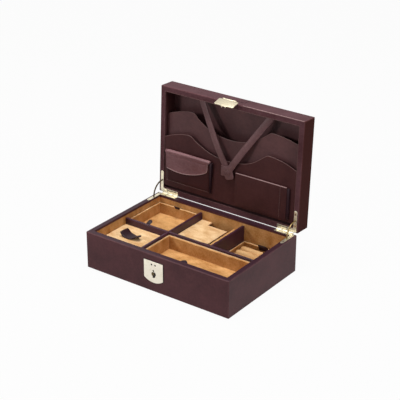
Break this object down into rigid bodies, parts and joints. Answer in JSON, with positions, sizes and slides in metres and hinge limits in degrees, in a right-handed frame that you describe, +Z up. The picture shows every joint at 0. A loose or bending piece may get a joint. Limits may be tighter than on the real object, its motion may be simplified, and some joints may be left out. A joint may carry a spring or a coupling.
{
  "type": "cufflink and ring jewellery case",
  "caption": "Leather-covered jewellery case with a hinged lid, lock and hasp, a suede-lined base with dividers, lift-out trays and ring rolls, and lid pockets.",
  "frame": {"origin": "middle of the felt foot, on the surface that the case stands on", "axes": "+X to the right along the long side, +Y from the lock to the hinges, +Z up; the lid is open"},
  "size_m": [0.3, 0.2477, 0.28],
  "materials": {
    "burgundy_leather": "fine grained, semi-matt dark burgundy brown",
    "tan_suede": "napped tan suede",
    "pale_gold_metal": "pale gold plate, satin",
    "steel": "plain steel inside the lock",
    "felt": "dark felt",
    "wood_board": "bare fibre board, hidden under the covers"
  },
  "bodies": {
    "base": {"base_front_board": "wood_board", "base_back_board": "wood_board", "base_left_board": "wood_board", "base_right_board": "wood_board", "base_floor_board": "wood_board", "base_leather": "burgundy_leather", "base_felt": "felt", "base_wall_lining": "tan_suede", "base_floor_lining": "tan_suede", "long_divider": "burgundy_leather", "left_cross_divider": "burgundy_leather", "right_cross_divider": "burgundy_leather", "front_left_frame": "tan_suede", "front_right_frame": "tan_suede", "rear_left_frame": "tan_suede", "rear_middle_frame": "tan_suede", "lock_plate": "pale_gold_metal", "lock_case": "steel", "hinge_left_base_leaf": "pale_gold_metal", "hinge_right_base_leaf": "pale_gold_metal", "hinge_pins": "pale_gold_metal", "base_hinge_screws": "pale_gold_metal"},
    "lid": {"lid_front_board": "wood_board", "lid_back_board": "wood_board", "lid_left_board": "wood_board", "lid_right_board": "wood_board", "lid_top_board": "wood_board", "lid_leather": "burgundy_leather", "lid_wall_lining": "burgundy_leather", "lid_top_lining": "burgundy_leather", "upper_pocket_panel": "burgundy_leather", "lower_pocket_panel": "burgundy_leather", "flat_pocket": "burgundy_leather", "purse_body": "burgundy_leather", "hinge_left_lid_leaf": "pale_gold_metal", "hinge_right_lid_leaf": "pale_gold_metal", "lid_hinge_screws": "pale_gold_metal", "stud_socket": "steel", "hasp_bracket": "pale_gold_metal"},
    "stay_left": {"stay_left": "pale_gold_metal"},
    "stay_right": {"stay_right": "pale_gold_metal"},
    "hasp_pin": {"hasp_pin": "pale_gold_metal"},
    "hasp": {"hasp_plate": "pale_gold_metal", "hasp_staple": "pale_gold_metal"},
    "key": {"key_barrel": "pale_gold_metal"},
    "bolt": {"lock_bolt": "steel"},
    "purse_flap": {"purse_flap": "burgundy_leather"},
    "v_strap": {"left_strap": "burgundy_leather", "right_strap": "burgundy_leather", "stud_cap": "burgundy_leather"},
    "rear_left_tray": {"rear_left_tray": "tan_suede", "rear_left_tray_tabs": "burgundy_leather"},
    "front_right_tray": {"front_right_tray": "tan_suede", "front_right_tray_tab": "burgundy_leather"},
    "ring_tray": {"ring_tray": "tan_suede", "ring_rolls": "tan_suede", "ring_tray_tab": "burgundy_leather"},
    "middle_panel": {"middle_panel": "tan_suede"},
    "front_left_panel": {"front_left_panel": "tan_suede", "front_left_pull": "burgundy_leather"}
  },
  "joints": [
    {"name": "lid_hinge", "type": "hinge", "parent": "base", "child": "lid", "pos_m": [0, 0.1031, 0.0698], "axis": [-1, 0, 0], "range_deg": [-92.7, 0]},
    {"name": "stay_left_turn", "type": "hinge", "parent": "base", "child": "stay_left", "pos_m": [0, 0.1031, 0.0698], "axis": [-1, 0, 0], "range_deg": [-46.35, 0]},
    {"name": "stay_right_turn", "type": "hinge", "parent": "base", "child": "stay_right", "pos_m": [0, 0.1031, 0.0698], "axis": [-1, 0, 0], "range_deg": [-46.35, 0]},
    {"name": "hasp_pin_turn", "type": "hinge", "parent": "lid", "child": "hasp_pin", "pos_m": [-0.0025, 0.11413, 0.27811], "axis": [-1, 0, 0], "range_deg": [0, 33.5]},
    {"name": "hasp_hinge", "type": "hinge", "parent": "hasp_pin", "child": "hasp", "pos_m": [-0.0025, 0.11413, 0.27811], "axis": [-1, 0, 0], "range_deg": [-17, 90]},
    {"name": "key_turn", "type": "hinge", "parent": "base", "child": "key", "pos_m": [-0.0025, -0.1015, 0.034], "axis": [0, 1, 0], "range_deg": [0, 90]},
    {"name": "bolt_slide", "type": "slide", "parent": "base", "child": "bolt", "axis": [-1, 0, 0], "range_m": [0, 0.004]},
    {"name": "purse_flap_fold", "type": "hinge", "parent": "lid", "child": "purse_flap", "pos_m": [-0.0865, 0.10505, 0.1558], "axis": [-1, 0, 0], "range_deg": [0, 150]},
    {"name": "strap_swing", "type": "hinge", "parent": "lid", "child": "v_strap", "pos_m": [0, 0.12837, 0.26182], "axis": [-1, 0, 0], "range_deg": [0, 50]},
    {"name": "rear_left_tray_lift", "type": "slide", "parent": "base", "child": "rear_left_tray", "axis": [0, 0, 1], "range_m": [0, 0.04]},
    {"name": "front_right_tray_lift", "type": "slide", "parent": "base", "child": "front_right_tray", "axis": [0, 0, 1], "range_m": [0, 0.042]},
    {"name": "ring_tray_lift", "type": "slide", "parent": "base", "child": "ring_tray", "axis": [0, 0, 1], "range_m": [0, 0.065]},
    {"name": "middle_panel_lift", "type": "slide", "parent": "base", "child": "middle_panel", "axis": [0, 0, 1], "range_m": [0, 0.03]},
    {"name": "front_left_panel_lift", "type": "slide", "parent": "base", "child": "front_left_panel", "axis": [0, 0, 1], "range_m": [0, 0.03]}
  ],
  "couplings": [
    {"joint": "stay_left_turn", "follows": "lid_hinge", "ratio": 0.5},
    {"joint": "stay_right_turn", "follows": "lid_hinge", "ratio": 0.5},
    {"joint": "hasp_pin_turn", "follows": "lid_hinge", "ratio": -0.356},
    {"joint": "key_turn", "follows": "bolt_slide", "rad_per_m": 392.6}
  ]
}
